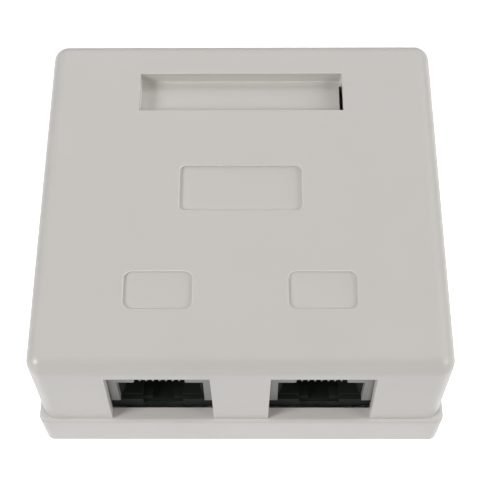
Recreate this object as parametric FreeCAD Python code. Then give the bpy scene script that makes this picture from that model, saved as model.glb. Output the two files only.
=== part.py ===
import FreeCAD, Part
import math
import os

# Two-port surface mount jack box for 8-position modular plugs, in millimetres.
# Origin: centre of the flat back face. X to the right, Y towards the rear (the ports face -Y), Z up.

Vec = FreeCAD.Vector

# --- base tray -------------------------------------------------------------------------------
BASE_WIDTH = 65.2           # over the plinth, along X
BASE_DEPTH = 61.2           # over the plinth, along Y
BASE_HEIGHT = 8.7           # back face to the rim that carries the cover
BASE_WALL = 2.5
BASE_FLOOR = 2.0
BASE_CORNER = 1.4           # upright outer corners
BASE_INNER_CORNER = 1.0
BASE_EDGE = 0.6             # rounded outer edge of the rim
BASE_HEEL = 0.15            # chamfer round the back face

LIP_THICK = 1.3             # spigot that keys into the cover
LIP_HEIGHT = 2.0            # above the rim
LIP_ROOT = 1.8              # below the rim, where the spigot grows out of the wall
LIP_CORNER_GAP = 4.0        # the spigot stops short of the tray's inner corners
LIP_PORT_GAP = 1.0          # and short of each port
GRIP_PROUD = 0.25           # upright grip beads that hold the cover by friction
GRIP_RADIUS = 0.7
GRIP_SHARE = 0.3            # beads stand at this share of the half length, each side of the middle

# --- cover -----------------------------------------------------------------------------------
HEADROOM = 2.3              # jack's crown to the underside of the top
COVER_STEP = 0.6            # how far the plinth stands out past the cover
COVER_SEAM = 0.06           # gap between the cover's edge and the rim
COVER_WALL = 1.6
COVER_TOP = 2.2
COVER_DRAFT = 0.6           # degrees, every side wall
COVER_ROUND = 2.5           # all outer edges
COVER_INNER_ROUND = 0.8     # upright inner edges

LABEL_LENGTH = 33.5         # recess for a paper label, along X
LABEL_SPAN = 7.35           # along Y
LABEL_SINK = 2.4
LABEL_SETBACK = 6.8         # from the cover's rear foot to the recess
LABEL_WALL = 1.5
LABEL_SLOT_BRIDGE = 0.4     # top left over the recess's open end, where a label slides in
LABEL_SLOT_SPAN = 6.4       # from the recess's front wall
LABEL_SLOT_GAP = 0.35       # the floor stops short of the open end

PANEL_LENGTH = 19.4         # shallow panel in the middle of the top
PANEL_SPAN = 8.15
PANEL_SINK = 0.5
PANEL_CORNER = 0.9
PANEL_Y = 1.1

POCKET_LENGTH = 10.5        # shallow icon pocket above each port
POCKET_SPAN = 6.25
POCKET_SINK = 0.4
POCKET_CORNER = 1.3
POCKET_Y = -16.8

HOLD_DOWN_THICK = 1.2       # ribs under the top that keep each jack on its board
HOLD_DOWN_LENGTH = 10.0
HOLD_DOWN_GAP = 0.3
HOLD_DOWN_SPREAD = 8.4      # between the two ribs of one jack

CABLE_ENTRY_WIDTH = 14.0    # open-bottomed arch in the rear wall
CABLE_ENTRY_HEIGHT = 7.0
CABLE_ENTRY_CORNER = 2.5

# --- ports and jacks -------------------------------------------------------------------------
PORT_PITCH = 25.0           # between the two jacks, along X
PORT_SIDE_LAP = 0.25        # cover over the jack at the head of the port, each side
PORT_HEAD_GAP = 0.7         # jack to cover above
PORT_TAPER = 0.8            # degrees, each side: the port widens towards the rim
JACK_SET_BACK = 0.2         # jack's face behind the tray's inner wall

JACK_WIDTH = 16.4
JACK_HEIGHT = 16.3
JACK_LENGTH = 17.9
MOUTH_WIDTH = 13.4          # between the housing's side walls
MOUTH_TOP = 10.8            # above the board
COMB_WIDTH = 7.8            # window over the bent contacts
COMB_HEIGHT = 3.4
COMB_DEPTH = 3.0
COMB_BEVEL = 0.25
COMB_RIB = 0.3
COMB_RIB_RECESS = 0.25
TUNNEL_HEIGHT = 1.4         # duct that leads the contacts back over the mouth
HOUSING_EDGE = 0.3

INSERT_FIT = 0.05           # insert to housing, each side
INSERT_SET_BACK = 1.0       # insert behind the housing's face
INSERT_TOE = 3.1            # height of the toes that fill the housing's front feet
INSERT_TOE_SET_BACK = 0.25
INSERT_FLARE = 0.5          # lead-in round the plug cavity
CAVITY_WIDTH = 11.9         # takes a modular plug
CAVITY_FLOOR = 3.7          # above the board
CAVITY_DEPTH = 11.8         # from the jack's face
LATCH_WIDTH = 6.4           # channel for the plug's spring latch
LATCH_MOUTH = 3.4           # between the two keepers
LATCH_FLOOR = 1.2           # above the board
LATCH_STEP = 1.2            # height of the wide upper part of the mouth
KEEPER_THICK = 1.6
REAR_WALL = 1.6
TIP_SLOT_WIDTH = 0.6        # slots that guide the contact tips
TIP_SLOT_DEPTH = 0.8
TIP_SLOT_HEIGHT = 4.2
PEG_RADIUS = 1.15
PEG_PITCH = 10.16
PEG_Y = 8.9                 # from the jack's face
PEG_REACH = 1.4             # below the board
PEG_TIP = 0.35              # lead-in chamfer
PEG_SIDE_COUNT = 12         # sides of each peg and of the hole that takes it

CONTACT_COUNT = 8
CONTACT_PITCH = 1.016
CONTACT_SIZE = 0.4          # square wire
CONTACT_BEND = 0.7          # centre-line radius
CONTACT_FLAT_COUNT = 3      # flats that make up each bend
CONTACT_NOSE = 1.35         # from the jack's face to the bent front
CONTACT_FALL = 0.2          # nose above the mouth's top before it turns back
CONTACT_TIP_Y = 11.0        # from the jack's face
CONTACT_TIP_Z = 7.3         # above the board
TAIL_Y = 14.6               # front row of solder tails, from the jack's face
TAIL_STAGGER = 2.0
TAIL_REACH = 1.3            # below the board

# --- circuit board ---------------------------------------------------------------------------
BOARD_THICK = 1.6
BOARD_LIFT = 4.8            # above the tray's floor
BOARD_SIDE_GAP = 1.0        # to the spigot, each side
BOARD_REAR = 16.0
BOARD_FRONT_GAP = 0.4       # behind the spigot
BOARD_CORNER = 1.0
BOARD_NOTCH_WIDTH = 8.5     # lets a screwdriver reach the front wall screw
BOARD_NOTCH_CLEAR = 2.0     # past the end of the wall slot
BOARD_NOTCH_CORNER = 1.2
SOLDER_CLEAR = 0.16         # hole to tail, each side
SOLDER_SIDE_COUNT = 8       # sides of each solder hole
PEG_CLEAR = 0.1

# --- insulation displacement terminals -------------------------------------------------------
IDC_WAYS = 4
IDC_PITCH = 3.81
IDC_SPAN = 7.6              # along Y
IDC_TOWER = 2.4             # thickness of each tower
IDC_FOOT = 4.2              # solid foot below the wire slots
IDC_HEIGHT = 12.4
IDC_TIP_SLOPE = 0.8         # height of the wedge on each tower
IDC_TIP_FLAT = 0.8
IDC_FRONT_Y = -3.0          # centre of the front block
IDC_BLOCK_STEP = 11.0       # front block to rear block
BLADE_THICK = 0.5
BLADE_WIDTH = 2.9
BLADE_HEIGHT = 9.4          # above the board
BLADE_FOOT = 1.2            # solid part of the blade inside the foot
BLADE_SLIT = 0.36
BLADE_LEAD = 0.5            # flared top of the slit
BLADE_GAP = 0.08            # blade to its groove, each side
BLADE_TAIL = 0.7

# --- screws, standoffs and wall fixing -------------------------------------------------------
SCREW_Y = -3.0
SCREW_SHANK = 1.25          # radius
SCREW_FIT = 0.05
SCREW_LENGTH = 5.6
SCREW_HEAD = 2.4            # radius
SCREW_HEAD_CLEAR = 0.74     # round the head, to the terminal blocks and to the board's edge
SCREW_HEAD_HEIGHT = 1.7
SCREW_HEAD_SIDE = 0.8       # plain side of the head, under its sloped crown
SCREW_CROWN = 1.6           # radius of the flat on top
SCREW_RECESS = 0.9
SCREW_RECESS_ARM = 1.3
SCREW_RECESS_WIDTH = 0.6
BOARD_SCREW_CLEAR = 0.35
STANDOFF_RADIUS = 2.9
PILOT_DEPTH = 4.4
DOWEL_Y = 12.5              # plain dowels that locate the board's rear edge
DOWEL_RADIUS = 1.2
DOWEL_RISE = 1.2            # above the board
DOWEL_CLEAR = 0.1
SHELF_THICK = 1.6           # shelf under the board's front edge
SHELF_LENGTH = 12.0

WALL_SLOT_PITCH = 40.0      # the two wall screws, along Y
WALL_SLOT_FRONT_Y = -19.5
WALL_SLOT_RADIUS = 2.25
WALL_SLOT_LENGTH = 8.0

TIE_X = 9.5                 # bridges that take a cable tie
TIE_Y = 21.5
TIE_LENGTH = 5.0
TIE_SPAN = 5.4
TIE_HEIGHT = 3.6
TIE_TUNNEL_SPAN = 3.0
TIE_TUNNEL_HEIGHT = 1.8

# --- places that follow from the sizes above -------------------------------------------------
TRAY_HALF_X = BASE_WIDTH / 2 - BASE_WALL
TRAY_HALF_Y = BASE_DEPTH / 2 - BASE_WALL
COVER_WIDTH = BASE_WIDTH - 2 * COVER_STEP
COVER_DEPTH = BASE_DEPTH - 2 * COVER_STEP
COVER_FOOT = BASE_HEIGHT + COVER_SEAM
BOARD_WIDTH = 2 * (TRAY_HALF_X - LIP_THICK - BOARD_SIDE_GAP)
BOARD_UNDERSIDE = BASE_FLOOR + BOARD_LIFT
BOARD_FACE = BOARD_UNDERSIDE + BOARD_THICK
BOARD_FRONT = -TRAY_HALF_Y + LIP_THICK + BOARD_FRONT_GAP
JACK_FACE = -TRAY_HALF_Y + JACK_SET_BACK
JACK_CROWN = BOARD_FACE + JACK_HEIGHT
CEILING = JACK_CROWN + HEADROOM
OVERALL_HEIGHT = CEILING + COVER_TOP
PORT_HEAD = JACK_CROWN + PORT_HEAD_GAP
PORT_HEAD_WIDTH = JACK_WIDTH - 2 * PORT_SIDE_LAP
PORT_FOOT_WIDTH = PORT_HEAD_WIDTH + 2 * (PORT_HEAD - BASE_HEIGHT) * math.tan(math.radians(PORT_TAPER))
DUCT_TOP = MOUTH_TOP + COMB_HEIGHT + TUNNEL_HEIGHT
LABEL_Y = COVER_DEPTH / 2 - LABEL_SETBACK - LABEL_SPAN / 2
SCREW_X = BOARD_WIDTH / 2 - SCREW_HEAD - SCREW_HEAD_CLEAR
IDC_LENGTH = IDC_WAYS * IDC_PITCH + IDC_TOWER
IDC_X = SCREW_X - SCREW_HEAD - SCREW_HEAD_CLEAR - IDC_LENGTH / 2
WALL_SLOTS = (WALL_SLOT_FRONT_Y, WALL_SLOT_FRONT_Y + WALL_SLOT_PITCH)
SIDES = {"left": -1, "right": 1}
CONTACT_OFFSETS = [(i - (CONTACT_COUNT - 1) / 2) * CONTACT_PITCH for i in range(CONTACT_COUNT)]
BLADE_OFFSETS = [(i - (IDC_WAYS - 1) / 2) * IDC_PITCH for i in range(IDC_WAYS)]
IDC_ROWS = {"front": IDC_FRONT_Y, "rear": IDC_FRONT_Y + IDC_BLOCK_STEP}


# --- shared shapes ---------------------------------------------------------------------------
def block(x_low, x_high, y_low, y_high, z_low, z_high):
    """Box between two corners."""
    return Part.makeBox(x_high - x_low, y_high - y_low, z_high - z_low, Vec(x_low, y_low, z_low))


def centred_block(width, depth, z_low, z_high, x=0.0, y=0.0):
    """Box centred on x, y."""
    return block(x - width / 2, x + width / 2, y - depth / 2, y + depth / 2, z_low, z_high)


def is_upright(edge):
    """True for an edge that climbs, whether plumb or drafted."""
    rise = abs(edge.Vertexes[0].Z - edge.Vertexes[-1].Z)
    return rise > edge.Length / 2


def edges_at(shape, z):
    """Edges that lie flat at one height."""
    return [e for e in shape.Edges if all(abs(v.Z - z) < 1e-6 for v in e.Vertexes)]


def rounded_block(width, depth, z_low, z_high, radius, x=0.0, y=0.0):
    """Box with rounded upright edges."""
    solid = centred_block(width, depth, z_low, z_high, x, y)
    return solid.makeFillet(radius, [e for e in solid.Edges if is_upright(e)])


def drafted_block(width, depth, z_low, z_high, draft):
    """Box whose four sides lean in by draft degrees; width and depth are at z_low."""
    lean = (z_high - z_low) * math.tan(math.radians(draft))
    half_x, half_y = width / 2, depth / 2
    solid = Part.makeWedge(-half_x, z_low, -half_y, lean - half_y, lean - half_x,
                           half_x, z_high, half_y, half_y - lean, half_x - lean)
    solid.rotate(Vec(), Vec(1, 0, 0), 90)
    return solid


def prism(points, push):
    """Solid of a closed outline pushed along a vector."""
    outline = Part.makePolygon(list(points) + [points[0]])
    return Part.Face(outline).extrude(push)


def upright_cylinder(radius, z_low, z_high, x, y):
    """Plumb cylinder."""
    return Part.makeCylinder(radius, z_high - z_low, Vec(x, y, z_low))


def upright_prism(sides, inner_radius, z_low, z_high, x, y):
    """Plumb prism of even sides, round a circle of inner_radius."""
    corner = inner_radius / math.cos(math.pi / sides)
    angles = [2 * math.pi * (index + 0.5) / sides for index in range(sides)]
    return prism([Vec(x + corner * math.cos(a), y + corner * math.sin(a), z_low) for a in angles],
                 Vec(0, 0, z_high - z_low))


def slot_cutter(radius, length, z_low, z_high, x, y):
    """Round-ended slot along Y."""
    reach = length / 2 - radius
    middle = centred_block(2 * radius, 2 * reach, z_low, z_high, x, y)
    ends = [upright_cylinder(radius, z_low, z_high, x, y + sign * reach) for sign in (-1, 1)]
    return middle.multiFuse(ends).removeSplitter()


# --- base ------------------------------------------------------------------------------------
def tray_shell():
    """Plinth walls and floor, with the rim's rounded edge."""
    outer = rounded_block(BASE_WIDTH, BASE_DEPTH, 0, BASE_HEIGHT, BASE_CORNER)
    outer = outer.makeFillet(BASE_EDGE, edges_at(outer, BASE_HEIGHT))
    outer = outer.makeChamfer(BASE_HEEL, edges_at(outer, 0))
    inner = rounded_block(2 * TRAY_HALF_X, 2 * TRAY_HALF_Y, BASE_FLOOR, BASE_HEIGHT, BASE_INNER_CORNER)
    return outer.cut(inner)


def lip_run(x_low, x_high, y_low, y_high):
    """One straight run of the spigot, with its crest broken by a small chamfer."""
    run = block(x_low, x_high, y_low, y_high, BASE_HEIGHT - LIP_ROOT, BASE_HEIGHT + LIP_HEIGHT)
    return run.makeChamfer(LIP_THICK / 4, edges_at(run, BASE_HEIGHT + LIP_HEIGHT))


def spigot():
    """Runs along both sides, the rear and the front land and corners."""
    side_reach = TRAY_HALF_Y - LIP_CORNER_GAP
    cross_reach = TRAY_HALF_X - LIP_CORNER_GAP
    port_near = (PORT_PITCH - PORT_FOOT_WIDTH) / 2 - LIP_PORT_GAP
    port_far = (PORT_PITCH + PORT_FOOT_WIDTH) / 2 + LIP_PORT_GAP
    entry = CABLE_ENTRY_WIDTH / 2 + LIP_PORT_GAP
    front, rear = -TRAY_HALF_Y, TRAY_HALF_Y
    runs = [lip_run(-port_near, port_near, front, front + LIP_THICK)]
    for sign in SIDES.values():
        inner_x, outer_x = sorted((sign * (TRAY_HALF_X - LIP_THICK), sign * TRAY_HALF_X))
        runs.append(lip_run(inner_x, outer_x, -side_reach, side_reach))
        near, far = sorted((sign * port_far, sign * cross_reach))
        runs.append(lip_run(near, far, front, front + LIP_THICK))
        near, far = sorted((sign * entry, sign * cross_reach))
        runs.append(lip_run(near, far, rear - LIP_THICK, rear))
    return runs


def grip_beads():
    """Half-round beads on the side runs of the spigot."""
    depth = GRIP_RADIUS - GRIP_PROUD
    beads = []
    for sign in SIDES.values():
        for share in (-GRIP_SHARE, GRIP_SHARE):
            y = share * BASE_DEPTH
            bead = upright_cylinder(GRIP_RADIUS, BASE_HEIGHT, BASE_HEIGHT + LIP_HEIGHT * 0.75,
                                    sign * (TRAY_HALF_X - depth), y)
            beads.append(bead)
    return beads


def standoffs():
    """Screw standoffs, rear dowels and the shelves under the board's front edge."""
    solids = []
    for sign in SIDES.values():
        x = sign * SCREW_X
        post = upright_cylinder(STANDOFF_RADIUS, BASE_FLOOR, BOARD_UNDERSIDE, x, SCREW_Y)
        pilot = upright_cylinder(SCREW_SHANK + SCREW_FIT, BOARD_UNDERSIDE - PILOT_DEPTH, BOARD_UNDERSIDE,
                                 x, SCREW_Y)
        solids.append(post.cut(pilot))
        dowel_top = BOARD_FACE + DOWEL_RISE
        dowel = upright_cylinder(DOWEL_RADIUS, BASE_FLOOR, dowel_top, x, DOWEL_Y)
        shoulder = upright_cylinder(STANDOFF_RADIUS, BASE_FLOOR, BOARD_UNDERSIDE, x, DOWEL_Y)
        solids.append(shoulder.fuse(dowel))
        shelf_y = BOARD_FRONT + SHELF_THICK
        solids.append(centred_block(SHELF_LENGTH, SHELF_THICK, BASE_FLOOR, BOARD_UNDERSIDE,
                                    sign * PORT_PITCH / 2, shelf_y))
    return solids


def tie_bridges():
    """Two bridges on the floor; a cable tie passes under each, along X."""
    solids = []
    for sign in SIDES.values():
        bridge = centred_block(TIE_LENGTH, TIE_SPAN, BASE_FLOOR, BASE_FLOOR + TIE_HEIGHT, sign * TIE_X, TIE_Y)
        crests = [e for e in edges_at(bridge, BASE_FLOOR + TIE_HEIGHT)
                  if abs(e.Vertexes[0].Y - e.Vertexes[-1].Y) < 1e-6]
        bridge = bridge.makeFillet(TIE_HEIGHT / 3, crests)
        tunnel = centred_block(2 * TIE_LENGTH, TIE_TUNNEL_SPAN, BASE_FLOOR, BASE_FLOOR + TIE_TUNNEL_HEIGHT,
                               sign * TIE_X, TIE_Y)
        solids.append(bridge.cut(tunnel))
    return solids


def wall_slots():
    """Two slots through the floor for wall screws."""
    return [slot_cutter(WALL_SLOT_RADIUS, WALL_SLOT_LENGTH, 0, BASE_FLOOR, 0, y) for y in WALL_SLOTS]


def base():
    """Moulded tray that screws to the wall and carries everything else."""
    tray = tray_shell().multiFuse(spigot() + grip_beads() + standoffs() + tie_bridges())
    return tray.cut(Part.makeCompound(wall_slots())).removeSplitter()


# --- cover -----------------------------------------------------------------------------------
def cover_shell():
    """Drafted, rounded hood of even wall."""
    outer = drafted_block(COVER_WIDTH, COVER_DEPTH, COVER_FOOT, OVERALL_HEIGHT, COVER_DRAFT)
    outer = outer.makeFillet(COVER_ROUND, [e for e in outer.Edges if is_upright(e)]
                             + edges_at(outer, OVERALL_HEIGHT))
    inner = drafted_block(COVER_WIDTH - 2 * COVER_WALL, COVER_DEPTH - 2 * COVER_WALL,
                          COVER_FOOT, CEILING, COVER_DRAFT)
    inner = inner.makeFillet(COVER_INNER_ROUND, [e for e in inner.Edges if is_upright(e)])
    return outer.cut(inner)


def label_tray():
    """Walls and floor that hang under the top round the label recess."""
    low = OVERALL_HEIGHT - LABEL_SINK - LABEL_WALL
    return centred_block(LABEL_LENGTH + 2 * LABEL_WALL, LABEL_SPAN + 2 * LABEL_WALL,
                         low, CEILING, 0, LABEL_Y)


def hold_down_ribs():
    """Two ribs above each jack, from the ceiling to just over its crown."""
    ribs = []
    for sign in SIDES.values():
        for offset in (-HOLD_DOWN_SPREAD / 2, HOLD_DOWN_SPREAD / 2):
            ribs.append(centred_block(HOLD_DOWN_THICK, HOLD_DOWN_LENGTH, JACK_CROWN + HOLD_DOWN_GAP, CEILING,
                                      sign * PORT_PITCH / 2 + offset, JACK_FACE + JACK_LENGTH / 2))
    return ribs


def port_cutter(x):
    """Open-bottomed port through the front wall, wider at the rim than at its head."""
    head, foot = PORT_HEAD_WIDTH / 2, PORT_FOOT_WIDTH / 2
    front = -COVER_DEPTH / 2
    corners = [Vec(x - head, front, PORT_HEAD), Vec(x + head, front, PORT_HEAD),
               Vec(x + foot, front, BASE_HEIGHT), Vec(x - foot, front, BASE_HEIGHT)]
    return prism(corners, Vec(0, JACK_FACE - front, 0))


def cable_entry_cutter():
    """Open-bottomed arch through the rear wall."""
    crown = COVER_FOOT + CABLE_ENTRY_HEIGHT
    arch = block(-CABLE_ENTRY_WIDTH / 2, CABLE_ENTRY_WIDTH / 2, TRAY_HALF_Y - LIP_THICK, COVER_DEPTH / 2,
                 BASE_HEIGHT, crown)
    corners = [e for e in edges_at(arch, crown) if abs(e.Vertexes[0].X - e.Vertexes[-1].X) < 1e-6]
    return arch.makeFillet(CABLE_ENTRY_CORNER, corners)


def top_recesses():
    """Label recess with its open end, the middle panel and the two icon pockets."""
    crown = OVERALL_HEIGHT
    floor = crown - LABEL_SINK
    cutters = [centred_block(LABEL_LENGTH, LABEL_SPAN, floor, crown, 0, LABEL_Y)]
    cutters.append(block(LABEL_LENGTH / 2 - LABEL_SLOT_GAP, LABEL_LENGTH / 2 + LABEL_WALL,
                         LABEL_Y - LABEL_SPAN / 2, LABEL_Y - LABEL_SPAN / 2 + LABEL_SLOT_SPAN,
                         floor - LABEL_WALL, crown - LABEL_SLOT_BRIDGE))
    cutters.append(rounded_block(PANEL_LENGTH, PANEL_SPAN, crown - PANEL_SINK, crown, PANEL_CORNER,
                                 0, PANEL_Y))
    for sign in SIDES.values():
        cutters.append(rounded_block(POCKET_LENGTH, POCKET_SPAN, crown - POCKET_SINK, crown, POCKET_CORNER,
                                     sign * PORT_PITCH / 2, POCKET_Y))
    return cutters


def cover():
    """Moulded hood that lifts off the tray."""
    hood = cover_shell().multiFuse([label_tray()] + hold_down_ribs())
    cutters = top_recesses() + [cable_entry_cutter()]
    cutters += [port_cutter(sign * PORT_PITCH / 2) for sign in SIDES.values()]
    for cutter in cutters:
        hood = hood.cut(cutter)
    return hood.removeSplitter()


# --- jacks -----------------------------------------------------------------------------------
def jack_housing():
    """Arched shroud: side walls, thick crown, comb window in front and a duct over the mouth."""
    half, mouth = JACK_WIDTH / 2, MOUTH_WIDTH / 2
    arch = [Vec(-half, 0, 0), Vec(-half, 0, JACK_HEIGHT), Vec(half, 0, JACK_HEIGHT), Vec(half, 0, 0),
            Vec(mouth, 0, 0), Vec(mouth, 0, MOUTH_TOP), Vec(-mouth, 0, MOUTH_TOP), Vec(-mouth, 0, 0)]
    shroud = prism(arch, Vec(0, JACK_LENGTH, 0))
    shroud = shroud.makeFillet(HOUSING_EDGE, [e for e in edges_at(shroud, JACK_HEIGHT)])
    comb = COMB_WIDTH / 2
    window = [Vec(-comb - COMB_BEVEL, 0, MOUTH_TOP), Vec(-comb, 0, MOUTH_TOP + COMB_BEVEL),
              Vec(-comb, 0, MOUTH_TOP + COMB_HEIGHT), Vec(comb, 0, MOUTH_TOP + COMB_HEIGHT),
              Vec(comb, 0, MOUTH_TOP + COMB_BEVEL), Vec(comb + COMB_BEVEL, 0, MOUTH_TOP)]
    shroud = shroud.cut(prism(window, Vec(0, COMB_DEPTH, 0)))
    duct_start = COMB_RIB_RECESS + HOUSING_EDGE
    duct = block(-comb, comb, duct_start, JACK_LENGTH, MOUTH_TOP + COMB_HEIGHT, DUCT_TOP)
    drop = block(-comb, comb, CAVITY_DEPTH + REAR_WALL, JACK_LENGTH, MOUTH_TOP, DUCT_TOP)
    shroud = shroud.cut(duct).cut(drop)
    shroud = shroud.cut(block(-half, half, 0, INSERT_SET_BACK + INSERT_FIT, 0, INSERT_TOE))
    ribs = []
    for left, right in zip(CONTACT_OFFSETS, CONTACT_OFFSETS[1:]):
        ribs.append(block((left + right - COMB_RIB) / 2, (left + right + COMB_RIB) / 2,
                          COMB_RIB_RECESS, COMB_DEPTH, MOUTH_TOP, MOUTH_TOP + COMB_HEIGHT))
    return shroud.multiFuse(ribs).removeSplitter()


def jack_insert():
    """Floor with the latch channel and keepers, liners, slotted rear wall, front toes and board pegs."""
    half = MOUTH_WIDTH / 2 - INSERT_FIT
    crown = MOUTH_TOP - INSERT_FIT
    front, rear = INSERT_SET_BACK, CAVITY_DEPTH + REAR_WALL
    body = block(-half, half, front, rear, 0, crown)
    cavity, latch, mouth = CAVITY_WIDTH / 2, LATCH_WIDTH / 2, LATCH_MOUTH / 2
    keeper_back = front + KEEPER_THICK
    cutters = [block(-cavity, cavity, front, CAVITY_DEPTH, CAVITY_FLOOR, crown),
               block(-latch, latch, keeper_back, CAVITY_DEPTH, LATCH_FLOOR, CAVITY_FLOOR),
               block(-latch, latch, front, keeper_back, CAVITY_FLOOR - LATCH_STEP, CAVITY_FLOOR),
               block(-mouth, mouth, front, keeper_back, LATCH_FLOOR, CAVITY_FLOOR)]
    for sign in SIDES.values():
        flare = [Vec(sign * cavity, front, CAVITY_FLOOR),
                 Vec(sign * (cavity + INSERT_FLARE), front, CAVITY_FLOOR),
                 Vec(sign * cavity, front + 2 * INSERT_FLARE, CAVITY_FLOOR)]
        cutters.append(prism(flare, Vec(0, 0, crown - CAVITY_FLOOR)))
    for x in CONTACT_OFFSETS:
        cutters.append(block(x - TIP_SLOT_WIDTH / 2, x + TIP_SLOT_WIDTH / 2, CAVITY_DEPTH,
                             CAVITY_DEPTH + TIP_SLOT_DEPTH, crown - TIP_SLOT_HEIGHT, crown))
    body = body.cut(Part.makeCompound(cutters))
    pegs, toes = [], []
    for sign in SIDES.values():
        near, far = sorted((sign * latch, sign * JACK_WIDTH / 2))
        toes.append(block(near, far, INSERT_TOE_SET_BACK, front, 0, INSERT_TOE - INSERT_FIT))
        foot = -BOARD_THICK - PEG_REACH
        peg = upright_prism(PEG_SIDE_COUNT, PEG_RADIUS, foot, 0, sign * PEG_PITCH / 2, PEG_Y)
        pegs.append(peg.makeChamfer(PEG_TIP, edges_at(peg, foot)))
    return body.multiFuse(pegs + toes).removeSplitter()


def bend_points(before, corner, after, radius, flats):
    """Points of one bend, tangent to the straight runs on both sides of its corner."""
    back, ahead = (before - corner).normalize(), (after - corner).normalize()
    half_angle = back.getAngle(ahead) / 2
    centre = corner + (back + ahead).normalize() * (radius / math.sin(half_angle))
    arm = corner + back * (radius / math.tan(half_angle)) - centre
    end_arm = corner + ahead * (radius / math.tan(half_angle)) - centre
    step = math.degrees(math.pi - 2 * half_angle) / flats
    return [centre + FreeCAD.Rotation(arm.cross(end_arm), step * index).multVec(arm)
            for index in range(flats + 1)]


def offset_side(path, offset):
    """A path in a YZ plane moved sideways in that plane, mitred at its corners."""
    runs = [(ahead - point).normalize() for point, ahead in zip(path, path[1:])]
    normals = [Vec(0, -run.z, run.y) for run in runs]
    pairs = zip(path, normals[:1] + normals, normals + normals[-1:])
    return [point + (before + after) * (offset / (1 + before.dot(after))) for point, before, after in pairs]


def bent_wire(corners, bend, size):
    """Square wire along straight runs in a YZ plane, joined by bends of one centre-line radius."""
    path = corners[:1]
    for before, corner, after in zip(corners, corners[1:], corners[2:]):
        path += bend_points(before, corner, after, bend, CONTACT_FLAT_COUNT)
    path.append(corners[-1])
    outline = offset_side(path, size / 2) + offset_side(path, -size / 2)[::-1]
    wire = prism(outline, Vec(size, 0, 0))
    wire.translate(Vec(-size / 2, 0, 0))
    return wire


def jack_contacts():
    """Spring wires: solder tail, over the mouth in the duct, round the comb and back into the cavity."""
    duct_centre = MOUTH_TOP + COMB_HEIGHT + TUNNEL_HEIGHT / 2
    wires = []
    for index, x in enumerate(CONTACT_OFFSETS):
        tail_y = TAIL_Y + TAIL_STAGGER * (index % 2)
        wires.append(bent_wire([Vec(x, tail_y, -BOARD_THICK - TAIL_REACH),
                                Vec(x, tail_y, duct_centre),
                                Vec(x, CONTACT_NOSE, duct_centre),
                                Vec(x, CONTACT_NOSE, MOUTH_TOP + CONTACT_FALL),
                                Vec(x, CONTACT_TIP_Y, CONTACT_TIP_Z)], CONTACT_BEND, CONTACT_SIZE))
    return Part.makeCompound(wires)


# --- circuit board ---------------------------------------------------------------------------
def board_holes():
    """Holes for the jacks' pegs and tails, the terminal tails, the screws and the dowels."""
    low, high = BOARD_UNDERSIDE, BOARD_FACE
    tail_radius = CONTACT_SIZE / math.sqrt(2) + SOLDER_CLEAR
    blade_radius = math.hypot(BLADE_TAIL, BLADE_THICK) / 2 + SOLDER_CLEAR
    holes = []
    for sign in SIDES.values():
        x = sign * PORT_PITCH / 2
        for index, offset in enumerate(CONTACT_OFFSETS):
            tail_y = JACK_FACE + TAIL_Y + TAIL_STAGGER * (index % 2)
            holes.append(upright_prism(SOLDER_SIDE_COUNT, tail_radius, low, high, x + offset, tail_y))
        for y in IDC_ROWS.values():
            holes += [upright_prism(SOLDER_SIDE_COUNT, blade_radius, low, high, sign * IDC_X + offset, y)
                      for offset in BLADE_OFFSETS]
        peg_y = JACK_FACE + PEG_Y
        holes += [upright_prism(PEG_SIDE_COUNT, PEG_RADIUS + PEG_CLEAR, low, high, x + offset, peg_y)
                  for offset in (-PEG_PITCH / 2, PEG_PITCH / 2)]
        holes.append(upright_cylinder(SCREW_SHANK + BOARD_SCREW_CLEAR, low, high, sign * SCREW_X, SCREW_Y))
        holes.append(upright_cylinder(DOWEL_RADIUS + DOWEL_CLEAR, low, high, sign * SCREW_X, DOWEL_Y))
    return holes


def circuit_board():
    """Board that carries both jacks and all four terminal blocks."""
    depth = BOARD_REAR - BOARD_FRONT
    board = rounded_block(BOARD_WIDTH, depth, BOARD_UNDERSIDE, BOARD_FACE, BOARD_CORNER,
                          0, (BOARD_REAR + BOARD_FRONT) / 2)
    notch_back = WALL_SLOT_FRONT_Y + WALL_SLOT_LENGTH / 2 + BOARD_NOTCH_CLEAR
    notch = block(-BOARD_NOTCH_WIDTH / 2, BOARD_NOTCH_WIDTH / 2, BOARD_FRONT, notch_back,
                  BOARD_UNDERSIDE, BOARD_FACE)
    inner_edges = [e for e in notch.Edges if is_upright(e) and abs(e.Vertexes[0].Y - notch_back) < 1e-6]
    notch = notch.makeFillet(BOARD_NOTCH_CORNER, inner_edges)
    return board.cut(notch).cut(Part.makeCompound(board_holes()))


# --- terminal blocks -------------------------------------------------------------------------
def idc_block():
    """Foot with a row of wedge-tipped towers; wires are pushed down between them."""
    foot = centred_block(IDC_LENGTH, IDC_SPAN, 0, IDC_FOOT)
    shoulder = IDC_HEIGHT - IDC_TIP_SLOPE
    half, flat = IDC_TOWER / 2, IDC_TIP_FLAT / 2
    towers = []
    for index in range(IDC_WAYS + 1):
        x = (index - IDC_WAYS / 2) * IDC_PITCH
        outline = [Vec(x - half, -IDC_SPAN / 2, 0), Vec(x + half, -IDC_SPAN / 2, 0),
                   Vec(x + half, -IDC_SPAN / 2, shoulder), Vec(x + flat, -IDC_SPAN / 2, IDC_HEIGHT),
                   Vec(x - flat, -IDC_SPAN / 2, IDC_HEIGHT), Vec(x - half, -IDC_SPAN / 2, shoulder)]
        towers.append(prism(outline, Vec(0, IDC_SPAN, 0)))
    body = foot.multiFuse(towers).removeSplitter()
    grooves = [centred_block(BLADE_WIDTH + 2 * BLADE_GAP, BLADE_THICK + 2 * BLADE_GAP, 0, IDC_HEIGHT, x, 0)
               for x in BLADE_OFFSETS]
    return body.cut(Part.makeCompound(grooves))


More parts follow.
